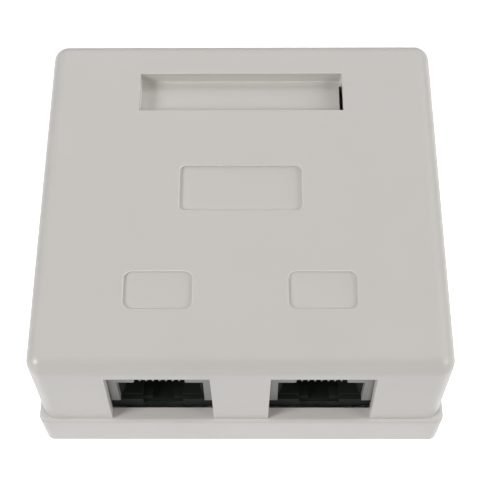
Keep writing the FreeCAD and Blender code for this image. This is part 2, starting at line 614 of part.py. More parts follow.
def idc_blade(x):
    """Forked blade: tail through the board, solid foot, two prongs with a flared slit."""
    half, tail, slit, lead = BLADE_WIDTH / 2, BLADE_TAIL / 2, BLADE_SLIT / 2, BLADE_LEAD
    below = -BOARD_THICK - TAIL_REACH
    outline = [Vec(-tail, 0, below), Vec(tail, 0, below), Vec(tail, 0, 0), Vec(half, 0, 0),
               Vec(half, 0, BLADE_HEIGHT - lead), Vec(half - lead, 0, BLADE_HEIGHT),
               Vec(slit + lead, 0, BLADE_HEIGHT), Vec(slit, 0, BLADE_HEIGHT - lead),
               Vec(slit, 0, BLADE_FOOT), Vec(-slit, 0, BLADE_FOOT), Vec(-slit, 0, BLADE_HEIGHT - lead),
               Vec(-slit - lead, 0, BLADE_HEIGHT), Vec(lead - half, 0, BLADE_HEIGHT),
               Vec(-half, 0, BLADE_HEIGHT - lead), Vec(-half, 0, 0), Vec(-tail, 0, 0)]
    blade = prism(outline, Vec(0, BLADE_THICK, 0))
    blade.translate(Vec(x, -BLADE_THICK / 2, 0))
    return blade


def idc_blades():
    """The blades of one block."""
    return Part.makeCompound([idc_blade(x) for x in BLADE_OFFSETS])


# --- screws ----------------------------------------------------------------------------------
def board_screw(x, y):
    """Blunt thread-forming screw for plastic: pan head, cross recess, thread left plain."""
    profile = [Vec(0, 0, -SCREW_LENGTH), Vec(SCREW_SHANK, 0, -SCREW_LENGTH),
               Vec(SCREW_SHANK, 0, 0), Vec(SCREW_HEAD, 0, 0), Vec(SCREW_HEAD, 0, SCREW_HEAD_SIDE),
               Vec(SCREW_CROWN, 0, SCREW_HEAD_HEIGHT), Vec(0, 0, SCREW_HEAD_HEIGHT), Vec(0, 0, -SCREW_LENGTH)]
    screw = Part.Face(Part.makePolygon(profile)).revolve(Vec(), Vec(0, 0, 1), 360)
    recess_low = SCREW_HEAD_HEIGHT - SCREW_RECESS
    arms = [centred_block(2 * SCREW_RECESS_ARM, SCREW_RECESS_WIDTH, recess_low, SCREW_HEAD_HEIGHT),
            centred_block(SCREW_RECESS_WIDTH, 2 * SCREW_RECESS_ARM, recess_low, SCREW_HEAD_HEIGHT)]
    screw = screw.cut(arms[0].fuse(arms[1]))
    screw.translate(Vec(x, y, BOARD_FACE))
    return screw


def board_screws():
    """Both screws that hold the board down."""
    return Part.makeCompound([board_screw(sign * SCREW_X, SCREW_Y) for sign in SIDES.values()])


# --- assembly --------------------------------------------------------------------------------
def placed(shape, x, y, z):
    """Copy of a shape moved from its own origin."""
    copy = shape.copy()
    copy.translate(Vec(x, y, z))
    return copy


def assembly():
    """Every sub-part in place, by name."""
    parts = {"base": base(), "cover": cover(),
             "circuit_board": circuit_board(), "board_screws": board_screws()}
    for side, sign in SIDES.items():
        x = sign * PORT_PITCH / 2
        parts[side + "_jack_housing"] = placed(jack_housing(), x, JACK_FACE, BOARD_FACE)
        parts[side + "_jack_insert"] = placed(jack_insert(), x, JACK_FACE, BOARD_FACE)
        parts[side + "_jack_contacts"] = placed(jack_contacts(), x, JACK_FACE, BOARD_FACE)
        for row, y in IDC_ROWS.items():
            parts[side + "_" + row + "_idc_block"] = placed(idc_block(), sign * IDC_X, y, BOARD_FACE)
            parts[side + "_" + row + "_idc_blades"] = placed(idc_blades(), sign * IDC_X, y, BOARD_FACE)
    return parts


os.makedirs("parts", exist_ok=True)
for name, shape in assembly().items():
    shape.exportStep("parts/" + name + ".step")
    print(name, "valid" if shape.isValid() else "NOT VALID", len(shape.Solids), round(shape.Volume, 2))
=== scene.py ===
"""Dressed model of a two-port surface mount jack box, in metres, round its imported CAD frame."""

import logging
import math
from dataclasses import asdict, dataclass
from enum import Enum
from typing import Any

import bmesh
import bpy
from mathutils import Matrix, Vector


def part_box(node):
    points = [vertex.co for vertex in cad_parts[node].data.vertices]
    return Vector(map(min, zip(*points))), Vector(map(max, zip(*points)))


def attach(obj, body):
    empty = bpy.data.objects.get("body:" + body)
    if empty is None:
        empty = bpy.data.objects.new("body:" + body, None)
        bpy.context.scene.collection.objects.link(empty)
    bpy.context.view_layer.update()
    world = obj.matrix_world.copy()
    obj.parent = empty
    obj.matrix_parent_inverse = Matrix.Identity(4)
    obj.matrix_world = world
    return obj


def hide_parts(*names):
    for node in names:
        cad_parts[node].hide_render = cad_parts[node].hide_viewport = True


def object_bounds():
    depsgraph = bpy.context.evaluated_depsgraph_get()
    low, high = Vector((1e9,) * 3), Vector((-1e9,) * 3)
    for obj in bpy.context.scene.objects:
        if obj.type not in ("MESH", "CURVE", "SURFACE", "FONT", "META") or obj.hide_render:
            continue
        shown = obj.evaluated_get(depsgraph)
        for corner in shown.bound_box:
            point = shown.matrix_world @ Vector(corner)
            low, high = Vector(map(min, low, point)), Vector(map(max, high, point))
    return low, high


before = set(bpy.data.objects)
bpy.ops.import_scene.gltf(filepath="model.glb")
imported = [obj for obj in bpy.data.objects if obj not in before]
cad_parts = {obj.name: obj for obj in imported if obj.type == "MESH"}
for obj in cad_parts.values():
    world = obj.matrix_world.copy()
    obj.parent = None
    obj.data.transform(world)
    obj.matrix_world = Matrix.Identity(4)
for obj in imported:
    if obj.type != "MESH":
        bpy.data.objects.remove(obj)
CAD_BOX = [list(corner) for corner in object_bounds()]

MM = 0.001
CONTACT_PITCH = 1.016 * MM
WAVE_UNIT = math.tau / 20  # pitch of the bands of a wave texture whose scale is 1
ROUND_PROFILE = 0.5  # profile of a bevel that is part of a circle
PAINTED_EDGE_LIGHT = "painted_edge_light"  # attribute that marks the broken edges for their painted highlight
BROKEN_EDGE_SLOT = 1  # material slot in which the edge break puts its new faces
WHITE = (1.0, 1.0, 1.0, 1.0)
Colour = tuple[float, float, float]
Band = tuple[float, float]
log = logging.getLogger("jack_box")


class Body(str, Enum):
    """The two bodies of the box."""

    TRAY = "tray"
    HOOD = "hood"


class Side(Enum):
    """The two ports, by the sign of their place along X."""

    LEFT = -1
    RIGHT = 1

    @property
    def word(self) -> str:
        """The side's name as the nodes spell it."""
        return self.name.lower()


class Row(Enum):
    """The two rows of terminal blocks on the board."""

    FRONT = "front"
    REAR = "rear"


# --- node trees ----------------------------------------------------------------------------------
class Wiring:
    """Adds nodes to one tree and joins their sockets."""

    def __init__(self, tree: bpy.types.NodeTree) -> None:
        """Keeps the shader or geometry tree that is filled."""
        self.tree = tree

    def put(self, socket: bpy.types.NodeSocket, value: Any) -> None:
        """Links another node's output to an input, or sets a plain value on it.

        Args:
            socket: the input.
            value: the output, or the value.
        """
        if isinstance(value, bpy.types.NodeSocket):
            self.tree.links.new(value, socket)
        else:
            socket.default_value = value

    def add(self, kind: str, inputs: dict[str | int, Any] | None = None,
            **settings: Any) -> bpy.types.Node:
        """Adds one node.

        Args:
            kind: the node's type.
            inputs: values or output sockets, by the name or place of the input.
            settings: properties of the node itself.

        Returns:
            The new node.
        """
        node = self.tree.nodes.new(kind)
        for name, value in settings.items():
            setattr(node, name, value)
        for key, value in (inputs or {}).items():
            self.put(node.inputs[key], value)
        return node

    def math(self, operation: str, *values: Any) -> bpy.types.NodeSocket:
        """The result of one Math node on numbers or sockets, in order."""
        return self.add("ShaderNodeMath", dict(enumerate(values)), operation=operation).outputs[0]

    def ramp(self, factor: bpy.types.NodeSocket, band: Band, start: float,
             end: float) -> bpy.types.NodeSocket:
        """Maps a factor within a band to a value between start and end, and holds it outside.

        Args:
            factor: what is mapped.
            band: the factors that give start and end.
            start: the first value.
            end: the last value.

        Returns:
            The mapped value.
        """
        return self.add("ShaderNodeMapRange",
                        {"Value": factor, "From Min": band[0], "From Max": band[1],
                         "To Min": start, "To Max": end}).outputs["Result"]


class Coat(Wiring):
    """The tree of a new material, with its shader and the coordinates that its patterns read."""

    def __init__(self, name: str) -> None:
        """Makes the material.

        Args:
            name: the material's name.
        """
        self.material = bpy.data.materials.new(name)
        self.material.use_nodes = True
        super().__init__(self.material.node_tree)
        self.shader = self.tree.nodes["Principled BSDF"]
        self.place = self.add("ShaderNodeTexCoord").outputs["Object"]

    def feed(self, name: str, value: Any) -> None:
        """Gives an input of the shader a number, a colour or a socket."""
        self.put(self.shader.inputs[name], value)

    def tint(self, colour: Colour, tone: bpy.types.NodeSocket) -> None:
        """Gives the shader a linear colour, made lighter or darker by a factor."""
        tinted = self.add("ShaderNodeVectorMath", {0: colour, "Scale": tone}, operation="SCALE")
        self.feed("Base Color", tinted.outputs[0])

    def roughen(self, pattern: bpy.types.NodeSocket, band: Band, middle: float,
                swing: float) -> None:
        """Swings the roughness to both sides of its middle, from end to end of a pattern's band."""
        self.feed("Roughness", self.ramp(pattern, band, middle - swing, middle + swing))

    def emboss(self, height: bpy.types.NodeSocket, depth: float) -> None:
        """Bumps the surface by a pattern whose value 1 stands out by the depth."""
        bump = self.add("ShaderNodeBump", {"Height": height, "Strength": 1.0, "Distance": depth})
        self.feed("Normal", bump.outputs["Normal"])

    def noise(self, size: float, detail: float,
              place: bpy.types.NodeSocket | None = None) -> bpy.types.NodeSocket:
        """Noise whose lumps have one size.

        Args:
            size: the size of a lump.
            detail: how many finer layers it has.
            place: the coordinates that it reads, the object's own where none are given.

        Returns:
            The noise, from 0 to 1.
        """
        read = self.place if place is None else place
        return self.add("ShaderNodeTexNoise",
                        {"Vector": read, "Scale": 1 / size, "Detail": detail}).outputs["Fac"]


# --- finishes ------------------------------------------------------------------------------------
@dataclass(frozen=True)
class MouldedPlastic:
    """Moulded plastic: satin skin, fine grain, slow drift of colour, a few specks, and a painted
    highlight on its broken edges.
    """

    name: str
    slot: str
    colour: Colour
    roughness: float
    specular: float = 0.5
    roughness_swing: float = 0.035
    grain_size: float = 0.22 * MM
    grain_depth: float = 0.0022 * MM
    grain_detail: float = 1.0
    drift: float = 0.012
    drift_size: float = 14.0 * MM
    drift_detail: float = 2.0
    drift_band: Band = (0.3, 0.7)
    flow_size: float = 3.5 * MM
    flow_detail: float = 3.0
    flow_band: Band = (0.25, 0.75)
    speck_cell: float = 9.0 * MM
    speck_share: float = 0.35
    speck_radius: float = 0.10 * MM
    speck_core: float = 0.5
    speck_tone: float = 0.62
    # how much lighter the broken edges are painted: a painted highlight, as if the edges caught the
    # light
    painted_edge_tone: float = 1.0

    def build(self) -> bpy.types.Material:
        """Makes the material.

        Returns:
            The material.
        """
        coat = Coat(self.name)
        drift = coat.noise(self.drift_size, self.drift_detail)
        tone = coat.ramp(drift, self.drift_band, 1.0 - self.drift, 1.0 + self.drift)
        tone = coat.math("MULTIPLY", tone, self.speck_mask(coat))
        # painted highlight: the faces of the broken edges are made lighter, as if they caught the
        # light
        painted_edge_light = coat.add("ShaderNodeAttribute", attribute_name=PAINTED_EDGE_LIGHT).outputs["Fac"]
        tone = coat.math("MULTIPLY", tone, coat.ramp(painted_edge_light, (0.0, 1.0), 1.0, self.painted_edge_tone))
        coat.tint(self.colour, tone)
        flow = coat.noise(self.flow_size, self.flow_detail)
        coat.roughen(flow, self.flow_band, self.roughness, self.roughness_swing)
        coat.emboss(coat.noise(self.grain_size, self.grain_detail), self.grain_depth)
        coat.feed("Specular IOR Level", self.specular)
        return coat.material

    def speck_mask(self, coat: Coat) -> bpy.types.NodeSocket:
        """1 on clear plastic and speck_tone in the few dark specks.

        Args:
            coat: the tree to fill.

        Returns:
            The factor for the colour.
        """
        cells = coat.add("ShaderNodeTexVoronoi",
                         {"Vector": coat.place, "Scale": 1 / self.speck_cell}).outputs
        chance = coat.add("ShaderNodeSeparateColor", {"Color": cells["Color"]}).outputs[0]
        kept = coat.math("LESS_THAN", chance, self.speck_share)
        reach = self.speck_radius / self.speck_cell
        near = coat.ramp(cells["Distance"], (reach * self.speck_core, reach), 1.0, 0.0)
        dark = coat.math("MULTIPLY", coat.math("MULTIPLY", near, kept), 1.0 - self.speck_tone)
        return coat.math("SUBTRACT", 1.0, dark)


@dataclass(frozen=True)
class PlatedMetal:
    """Plated or rolled metal with fine drawing lines and a little haze."""

    name: str
    slot: str
    colour: Colour
    roughness: float
    roughness_swing: float = 0.06
    haze_size: float = 0.6 * MM
    haze_detail: float = 2.0
    haze_band: Band = (0.3, 0.7)
    haze_tones: Band = (0.9, 1.04)
    line_size: float = 10.0 * MM
    line_depth: float = 0.0008 * MM
    line_detail: float = 1.0
    line_stretch: tuple[float, float, float] = (60.0, 4.0, 4.0)

    def build(self) -> bpy.types.Material:
        """Makes the material.

        Returns:
            The material.
        """
        coat = Coat(self.name)
        haze = coat.noise(self.haze_size, self.haze_detail)
        coat.tint(self.colour, coat.ramp(haze, self.haze_band, *self.haze_tones))
        coat.roughen(haze, self.haze_band, self.roughness, self.roughness_swing)
        stretched = coat.add("ShaderNodeMapping",
                             {"Vector": coat.place, "Scale": self.line_stretch}).outputs[0]
        coat.emboss(coat.noise(self.line_size, self.line_detail, stretched), self.line_depth)
        coat.feed("Metallic", 1.0)
        return coat.material


@dataclass(frozen=True)
class SolderMask:
    """Green lacquer over a glass-cloth board: glossy, with the weave just showing."""

    name: str
    slot: str
    colour: Colour
    roughness: float = 0.28
    weave_pitch: float = 0.45 * MM
    weave_depth: float = 0.002 * MM
    flood_size: float = 6.0 * MM
    flood_detail: float = 3.0
    flood_band: Band = (0.35, 0.65)
    flood_tone: float = 1.45

    def build(self) -> bpy.types.Material:
        """Makes the material.

        Returns:
            The material.
        """
        coat = Coat(self.name)
        flood = coat.noise(self.flood_size, self.flood_detail)
        coat.tint(self.colour, coat.ramp(flood, self.flood_band, 1.0, self.flood_tone))
        weave = [coat.add("ShaderNodeTexWave",
                          {"Vector": coat.place, "Scale": WAVE_UNIT / self.weave_pitch},
                          bands_direction=axis).outputs["Fac"] for axis in ("X", "Y")]
        coat.emboss(coat.math("MULTIPLY", *weave), self.weave_depth)
        coat.feed("Roughness", self.roughness)
        return coat.material


Finish = MouldedPlastic | PlatedMetal | SolderMask

# The cover's and the tray's broken edges get a painted highlight, lighter than the rest of the
# plastic.
COVER_PLASTIC = MouldedPlastic("cover_plastic", "white_plastic", (0.612, 0.591, 0.560), 0.34,
                               painted_edge_tone=1.25)
TRAY_PLASTIC = MouldedPlastic("tray_plastic", "white_plastic", (0.638, 0.610, 0.584), 0.34,
                              painted_edge_tone=1.10)
GREY_PLASTIC = MouldedPlastic("shroud_plastic", "grey_plastic", (0.245, 0.248, 0.240), 0.45,
                              speck_share=0.0)
BLACK_PLASTIC = MouldedPlastic("insert_plastic", "black_plastic", (0.0115, 0.0146, 0.0125), 0.70,
                               specular=0.12, speck_share=0.0)
TERMINAL_PLASTIC = MouldedPlastic("block_plastic", "terminal_plastic", (0.66, 0.65, 0.60), 0.42,
                                  speck_share=0.0)
OUTLINE_INK = MouldedPlastic("outline_ink", "terminal_plastic", (0.70, 0.70, 0.66), 0.55,
                             speck_share=0.0)
GREEN_BOARD = SolderMask("board_lacquer", "green_board", (0.010, 0.085, 0.036))
TRACK_GREEN = SolderMask("track_lacquer", "green_board", (0.020, 0.135, 0.058))
GOLD_CONTACT = PlatedMetal("contact_gold", "gold_contact", (0.78, 0.58, 0.26), 0.26)
TIN_BLADE = PlatedMetal("blade_tin", "tin_blade", (0.66, 0.66, 0.64), 0.34)
SOLDER_TIN = PlatedMetal("solder_tin", "tin_blade", (0.72, 0.72, 0.71), 0.24)
SCREW_STEEL = PlatedMetal("screw_zinc", "screw_steel", (0.58, 0.59, 0.60), 0.30)
FINISHES = (COVER_PLASTIC, TRAY_PLASTIC, GREY_PLASTIC, BLACK_PLASTIC, TERMINAL_PLASTIC,
            GREEN_BOARD, TRACK_GREEN, OUTLINE_INK, GOLD_CONTACT, TIN_BLADE, SOLDER_TIN,
            SCREW_STEEL)


class Palette:
    """Every finish as a built material."""

    def __init__(self) -> None:
        """Builds all the finishes once."""
        self.materials = {finish.name: finish.build() for finish in FINISHES}

    def dress_node(self, node: str, finish: Finish) -> None:
        """Gives a CAD node its finish.

        Args:
            node: the node's name.
            finish: the finish.
        """
        for material_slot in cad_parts[node].material_slots:
            material_slot.material = self.materials[finish.name]
        log.info("%s wears %s", node, finish.name)

    def dress_piece(self, piece: bpy.types.Object, finish: Finish) -> None:
        """Gives a piece of this script its finish.

        Args:
            piece: the piece.
            finish: the finish.
        """
        piece.data.materials.clear()
        piece.data.materials.append(self.materials[finish.name])


# --- meshes --------------------------------------------------------------------------------------
def node_box(node: str) -> tuple[Vector, Vector]:
    """The lowest and the highest corner of a CAD node."""
    low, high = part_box(node)
    return Vector(low), Vector(high)


def linked(name: str, data: bpy.types.ID) -> bpy.types.Object:
    """A mesh, a lamp or a camera as an object of the scene.

    Args:
        name: the object's name.
        data: what it shows.

    Returns:
        The new object, at the origin.
    """
    thing = bpy.data.objects.new(name, data)
    bpy.context.scene.collection.objects.link(thing)
    return thing


def settle(piece: bpy.types.Object) -> None:
    """Turns a piece's live modifiers into its plain mesh.

    Args:
        piece: the piece, with modifiers.
    """
    bpy.context.view_layer.update()
    graph = bpy.context.evaluated_depsgraph_get()
    mesh = bpy.data.meshes.new_from_object(piece.evaluated_get(graph),
                                           preserve_all_data_layers=True, depsgraph=graph)
    piece.modifiers.clear()
    piece.data = mesh


@dataclass
class SoftenedPart:
    """A CAD part as it leaves the mould: the same form, with its sharp edges just broken."""

    node: str
    body: Body
    finish: Finish
    edge_break: float = 0.10 * MM
    sharp_angle: float = 35.0
    weld: float = 0.0005 * MM
    flat_angle: float = 0.3
    segments: int = 2
    mouth_break: float = 0.0
    dish_depth: float = 0.0
    dish_round: float = 0.08 * MM
    dish_segments: int = 2

    def build(self, palette: Palette) -> None:
        """Makes the piece that stands for the node.

        Args:
            palette: the built finishes.
        """
        piece = linked(self.node + "_finished", self.welded_mesh())
        self.break_edges(piece)
        self.round_dishes(piece.data)
        piece.modifiers.new("normals", "WEIGHTED_NORMAL").keep_sharp = True
        settle(piece)
        palette.dress_piece(piece, self.finish)
        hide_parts(self.node)
        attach(piece, self.body.value)
        log.info("%s stands for %s with %d faces", piece.name, self.node, len(piece.data.polygons))

    def welded_mesh(self) -> bpy.types.Mesh:
        """The node's loose triangles as one welded mesh, with its sharp edges marked for breaking.

        Returns:
            The mesh.
        """
        form = bmesh.new()
        form.from_mesh(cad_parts[self.node].data)
        bmesh.ops.remove_doubles(form, verts=form.verts, dist=self.weld)
        bmesh.ops.dissolve_limit(form, angle_limit=math.radians(self.flat_angle),
                                 verts=form.verts, edges=form.edges)
        breaks = form.edges.layers.float.new("bevel_weight_edge")
        dishes = set(self.dish_edges(form))
        mouths = set(self.mouth_edges(form))
        plain = self.edge_break / max(self.edge_break, self.mouth_break)
        for edge in form.edges:
            if self.is_sharp(edge) and edge not in dishes:
                edge[breaks] = 1.0 if edge in mouths else plain
        for face in form.faces:
            face.smooth = True
        mesh = bpy.data.meshes.new(self.node + "_welded")
        form.to_mesh(mesh)
        form.free()
        return mesh

    def break_edges(self, piece: bpy.types.Object) -> None:
        """Breaks the marked edges, and marks the new faces with the attribute that gives them a
        painted highlight.

        The bevel puts its new faces in a slot of their own, which tells them apart. The slots are
        empty, and they go again.

        Args:
            piece: the part, with its edges marked for breaking.
        """
        for _ in range(BROKEN_EDGE_SLOT + 1):
            piece.data.materials.append(None)
        bevel = piece.modifiers.new("edge_break", "BEVEL")
        bevel.width = max(self.edge_break, self.mouth_break)
        bevel.segments = self.segments
        bevel.limit_method = "WEIGHT"
        bevel.use_clamp_overlap = True
        bevel.material = BROKEN_EDGE_SLOT
        settle(piece)
        faces = piece.data.polygons
        marks = [float(face.material_index == BROKEN_EDGE_SLOT) for face in faces]
        piece.data.attributes.new(PAINTED_EDGE_LIGHT, "FLOAT", "FACE").data.foreach_set("value", marks)
        for face in faces:
            face.material_index = 0
        piece.data.materials.clear()

    def is_sharp(self, edge: bmesh.types.BMEdge) -> bool:
        """True for an edge where two faces meet at a marked angle."""
        sharp = math.radians(self.sharp_angle)
        return len(edge.link_faces) == 2 and edge.calc_face_angle(0.0) > sharp

    def mouth_edges(self, form: bmesh.types.BMesh) -> list[bmesh.types.BMEdge]:
        """The edges round the mouths of the recesses in the part's crown.

        Args:
            form: the part's mesh.

        Returns:
            The edges, none where those edges are broken as the others are.
        """
        if not self.mouth_break:
            return []
        rim = max(vertex.co.z for vertex in form.verts) - self.weld
        return [edge for edge in form.edges
                if self.is_sharp(edge) and all(vertex.co.z > rim for vertex in edge.verts)]

    def dish_edges(self, form: bmesh.types.BMesh) -> list[bmesh.types.BMEdge]:
        """The edges round the floors of the shallow recesses in the part's crown.

        Args:
            form: the part's mesh.

        Returns:
            The edges, none where the part has no such recess.
        """
        if not self.dish_depth:
            return []
        crown = max(vertex.co.z for vertex in form.verts)
        return [edge for edge in form.edges
                if self.is_sharp(edge) and not edge.is_convex
                and abs(edge.verts[0].co.z - edge.verts[1].co.z) < self.weld
                and crown - self.dish_depth < edge.verts[0].co.z < crown - self.weld]

    def round_dishes(self, mesh: bpy.types.Mesh) -> None:
        """Rounds the floors of the shallow recesses into their walls.

        Args:
            mesh: the part's mesh, with its other edges broken.
        """
        form = bmesh.new()
        form.from_mesh(mesh)
        floors = self.dish_edges(form)
        if floors:
            bmesh.ops.bevel(form, geom=floors, offset=self.dish_round, offset_type="OFFSET",
                            segments=self.dish_segments, profile=ROUND_PROFILE,
                            affect="EDGES", clamp_overlap=True)
            form.to_mesh(mesh)
        form.free()


# --- grown shapes --------------------------------------------------------------------------------
def line_host(name: str, paths: list[list[Vector]], closed: bool = False) -> bpy.types.Mesh:
    """A mesh of bare edges for a tree to grow along.

    Args:
        name: the mesh's name.
        paths: the corners of each path, in order.
        closed: joins each path's ends.

    Returns:
        The mesh.
    """
    corners: list[Vector] = []
    edges: list[tuple[int, int]] = []
    for path in paths:
        first = len(corners)
        corners += path
        edges += [(place, place + 1) for place in range(first, len(corners) - 1)]
        if closed:
            edges.append((len(corners) - 1, first))
    mesh = bpy.data.meshes.new(name)
    mesh.from_pydata(corners, edges, [])
    return mesh


def point_host(name: str, points: list[Vector]) -> bpy.types.Mesh:
    """A mesh of bare points for a tree to grow on."""
    return line_host(name, [[point] for point in points])


class GrownShape:
    """A geometry tree with named sizes that turns a host of points or paths into a plain piece."""

    title = "grown_shape"
    lengths: tuple[str, ...] = ()
    counts: tuple[str, ...] = ()

    def __init__(self) -> None:
        """Makes the tree and its named inputs, and lays its nodes."""
        self.tree = bpy.data.node_groups.new(self.title, "GeometryNodeTree")
        self.wiring = Wiring(self.tree)
        self.keys: dict[str, str] = {}
        kinds = {"Host": "NodeSocketGeometry", **dict.fromkeys(self.lengths, "NodeSocketFloat"),
                 **dict.fromkeys(self.counts, "NodeSocketInt"), "Finish": "NodeSocketMaterial"}
        sockets = self.tree.interface
        for label, kind in kinds.items():
            socket = sockets.new_socket(label, in_out="INPUT", socket_type=kind)
            self.keys[label] = socket.identifier
        sockets.new_socket("Piece", in_out="OUTPUT", socket_type="NodeSocketGeometry")
        self.inputs = self.wiring.add("NodeGroupInput").outputs
        whole = self.wiring.add("GeometryNodeRealizeInstances", {0: self.lay()}).outputs[0]
        dressed = self.wiring.add("GeometryNodeSetMaterial",
                                  {"Geometry": whole, "Material": self.inputs["Finish"]}).outputs[0]
        self.wiring.add("NodeGroupOutput", {0: dressed})

    def lay(self) -> bpy.types.NodeSocket:
        """Lays the nodes that make the shape, and returns it."""
        raise NotImplementedError

    def bent_paths(self) -> bpy.types.NodeSocket:
        """The host's edges as paths whose corners are round bends.

        Returns:
            The paths.
        """
        paths = self.wiring.add("GeometryNodeMeshToCurve", {0: self.inputs["Host"]}).outputs[0]
        bends = {"Curve": paths, "Radius": self.inputs["Bend"],
                 "Count": self.inputs["Bend Steps"], "Limit Radius": True}
        return self.wiring.add("GeometryNodeFilletCurve", bends, mode="POLY").outputs[0]

    def grow(self, name: str, host: bpy.types.Mesh, body: Body, finish: Finish, palette: Palette,
             **sizes: float | int) -> bpy.types.Object:
        """Grows one piece over a host.

        Args:
            name: the piece's name.
            host: the points or paths.
            body: what it rides on.
            finish: its finish.
            palette: the built finishes.
            sizes: the tree's inputs, spelt with low lines for spaces.

        Returns:
            The piece, as a plain mesh.
        """
        piece = linked(name, host)
        modifier = piece.modifiers.new(self.title, "NODES")
        modifier.node_group = self.tree
        for label in (*self.lengths, *self.counts):
            modifier[self.keys[label]] = sizes[label.lower().replace(" ", "_")]
        modifier[self.keys["Finish"]] = palette.materials[finish.name]
        settle(piece)
        palette.dress_piece(piece, finish)
        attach(piece, body.value)
        log.info("%s has %d faces", name, len(piece.data.polygons))
        return piece


class WireRow(GrownShape):
    """Square wires with softened edges, bent along their paths and repeated in a row along X."""

    title = "wire_row"
    lengths = ("Wire", "Edge", "Bend", "Step")
    counts = ("Edge Steps", "Bend Steps", "Repeats")

    def lay(self) -> bpy.types.NodeSocket:
        """Sweeps the wire along the paths and repeats it.

        Returns:
            The row of wires.
        """
        add, inputs = self.wiring.add, self.inputs
        square = add("GeometryNodeCurvePrimitiveQuadrilateral",
                     {"Width": inputs["Wire"], "Height": inputs["Wire"]}).outputs[0]
        section = add("GeometryNodeFilletCurve",
                      {"Curve": square, "Radius": inputs["Edge"], "Count": inputs["Edge Steps"]},
                      mode="POLY").outputs[0]
        wires = add("GeometryNodeCurveToMesh", {"Curve": self.bent_paths(),
                                                "Profile Curve": section,
                                                "Fill Caps": True}).outputs[0]
        step = add("ShaderNodeCombineXYZ", {"X": inputs["Step"]}).outputs[0]
        places = add("GeometryNodeMeshLine", {"Count": inputs["Repeats"], "Offset": step},
                     mode="OFFSET").outputs[0]
        return add("GeometryNodeInstanceOnPoints",
                   {"Points": places, "Instance": wires}).outputs[0]


class FlatTracks(GrownShape):
    """Flat strips that follow their paths over the board."""

    title = "flat_tracks"
    lengths = ("Width", "Thickness", "Bend")
    counts = ("Bend Steps",)

    def lay(self) -> bpy.types.NodeSocket:
        """Sweeps the strip along the paths.

        Returns:
            The tracks.
        """
        add, inputs = self.wiring.add, self.inputs
        section = add("GeometryNodeCurvePrimitiveQuadrilateral",
                      {"Width": inputs["Width"], "Height": inputs["Thickness"]}).outputs[0]
        level = add("GeometryNodeSetCurveNormal", {"Curve": self.bent_paths()},
                    mode="Z_UP").outputs[0]
        return add("GeometryNodeCurveToMesh",
                   {"Curve": level, "Profile Curve": section, "Fill Caps": True}).outputs[0]


class TinnedSpots(GrownShape):
    """Spots of solder on the host's points: wide on the board, drawn up to the wire."""

    title = "tinned_spots"
    lengths = ("Pad Radius", "Neck Radius", "Height", "Draw")
    counts = ("Facets", "Rings")

    def lay(self) -> bpy.types.NodeSocket:
        """Draws one spot up from its pad and sets it on each point.

        Returns:
            The spots.
        """
        add, inputs, sums = self.wiring.add, self.inputs, self.wiring.math
        top = add("ShaderNodeCombineXYZ", {"Z": inputs["Height"]}).outputs[0]
        stem = add("GeometryNodeCurvePrimitiveLine", {"End": top}).outputs[0]
        rings = add("GeometryNodeResampleCurve",
                    {"Curve": stem, "Count": inputs["Rings"]}).outputs[0]
        left = sums("SUBTRACT", 1.0, add("GeometryNodeSplineParameter").outputs["Factor"])
        spread = sums("SUBTRACT", inputs["Pad Radius"], inputs["Neck Radius"])
        girth = sums("MULTIPLY_ADD", spread, sums("POWER", left, inputs["Draw"]),
                     inputs["Neck Radius"])
        ring = add("GeometryNodeCurvePrimitiveCircle",
                   {"Resolution": inputs["Facets"], "Radius": 1.0}).outputs[0]
        spot = add("GeometryNodeCurveToMesh", {"Curve": rings, "Profile Curve": ring,
                                               "Scale": girth, "Fill Caps": True}).outputs[0]
        return add("GeometryNodeInstanceOnPoints",
                   {"Points": inputs["Host"], "Instance": spot}).outputs[0]


# --- view and light ------------------------------------------------------------------------------
@dataclass
class Viewpoint:
    """Camera over the ports, looking down on the cover."""

    place: tuple[float, float, float] = (1.496 * MM, -93.327 * MM, 188.626 * MM)
    tilt: float = 61.930
    yaw: float = 1.066
    roll: float = 0.969
    lens: float = 87.838
    nearest: float = 10.0 * MM

    def build(self) -> None:
        """Makes the camera and gives it to the scene."""
        tilt, yaw, roll = (math.radians(angle) for angle in (self.tilt, self.yaw, self.roll))
        ahead = Vector((-math.sin(yaw) * math.cos(tilt), math.cos(yaw) * math.cos(tilt),
                        -math.sin(tilt)))
        level = Vector((math.cos(yaw), math.sin(yaw), 0.0))
        down = ahead.cross(level)
        right = math.cos(roll) * level + math.sin(roll) * down
        below = -math.sin(roll) * level + math.cos(roll) * down
        turn = Matrix((right, -below, -ahead)).transposed().to_4x4()
        data = bpy.data.cameras.new("viewpoint")
        data.lens = self.lens
        data.clip_start = self.nearest
        camera = linked("viewpoint", data)
        camera.matrix_world = Matrix.Translation(self.place) @ turn
        bpy.context.scene.camera = camera


@dataclass
class Softbox:
    """Square lamp that faces the box. Azimuth 0 is in front of the ports, and 90 is at +X.

    A lamp that isn't mirrored lights the box without showing in its gloss.
    """

    name: str
    azimuth: float
    elevation: float
    power: float
    size: float = 0.45
    distance: float = 0.75
    mirrored: bool = True

    def build(self) -> None:
        """Makes the lamp."""
        data = bpy.data.lights.new(self.name, "AREA")
        data.size = self.size
        data.energy = self.power
        azimuth, elevation = math.radians(self.azimuth), math.radians(self.elevation)
        away = Vector((math.sin(azimuth) * math.cos(elevation),
                       -math.cos(azimuth) * math.cos(elevation), math.sin(elevation)))
        lamp = linked(self.name, data)
        lamp.rotation_euler = away.to_track_quat("Z", "Y").to_euler()
        lamp.location = away * self.distance
        lamp.visible_glossy = self.mirrored


